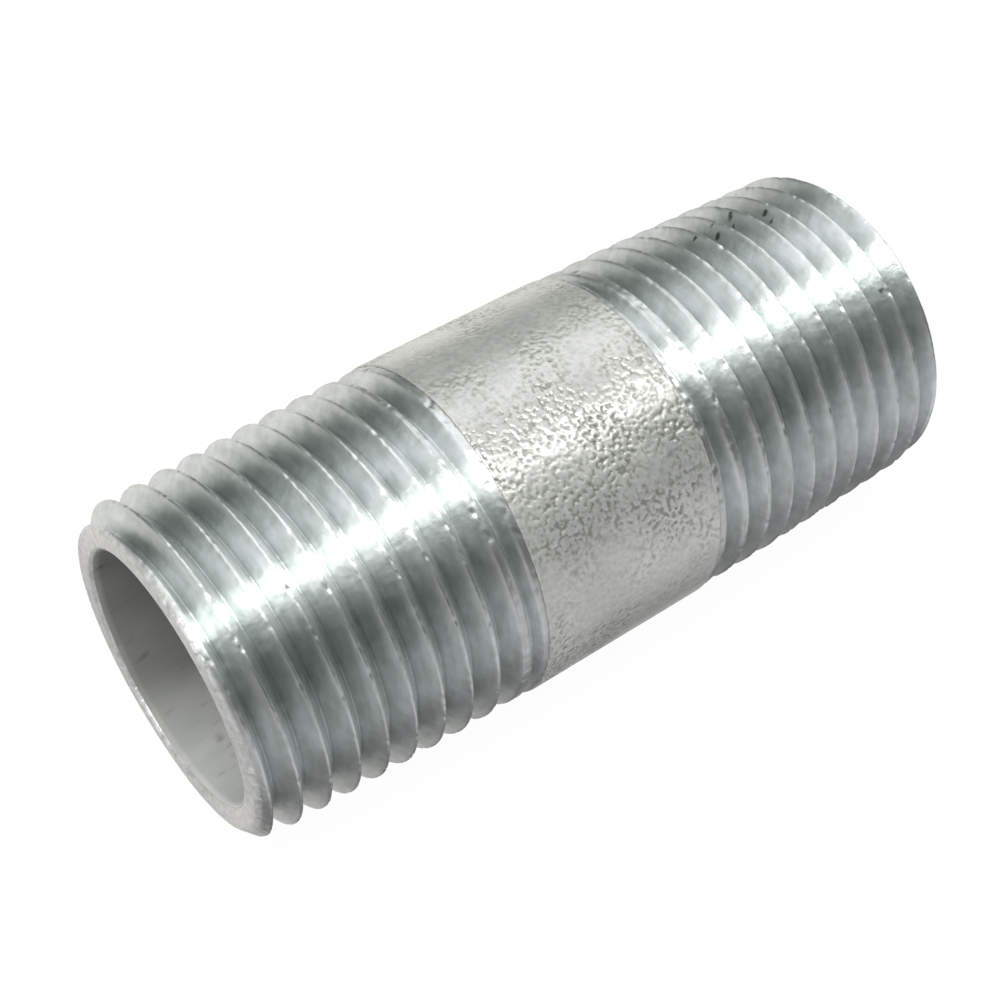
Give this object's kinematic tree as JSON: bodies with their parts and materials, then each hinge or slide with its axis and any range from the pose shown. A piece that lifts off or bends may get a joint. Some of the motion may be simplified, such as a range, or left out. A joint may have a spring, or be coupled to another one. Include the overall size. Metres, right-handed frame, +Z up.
{
  "type": "threaded pipe nipple",
  "caption": "Short galvanised steel pipe nipple with a taper pipe thread on each end and a plain zinc-coated barrel between them.",
  "frame": {"origin": "centre of the pipe, on its axis, halfway between the two end faces", "axes": "+X along the pipe's axis, +Z up with the nipple lying on its side; the part is the same turned end for end about +Y"},
  "size_m": [0.05, 0.0216, 0.0216],
  "materials": {
    "threaded_steel": "bright zinc-coated cut thread",
    "barrel_zinc": "matte pitted hot-dip zinc",
    "bore_zinc": "dull hot-dip zinc"
  },
  "bodies": {
    "root": {"steel_pipe": "threaded_steel", "barrel_zinc_coat": "barrel_zinc", "bore_zinc_coat": "bore_zinc"}
  },
  "joints": []
}
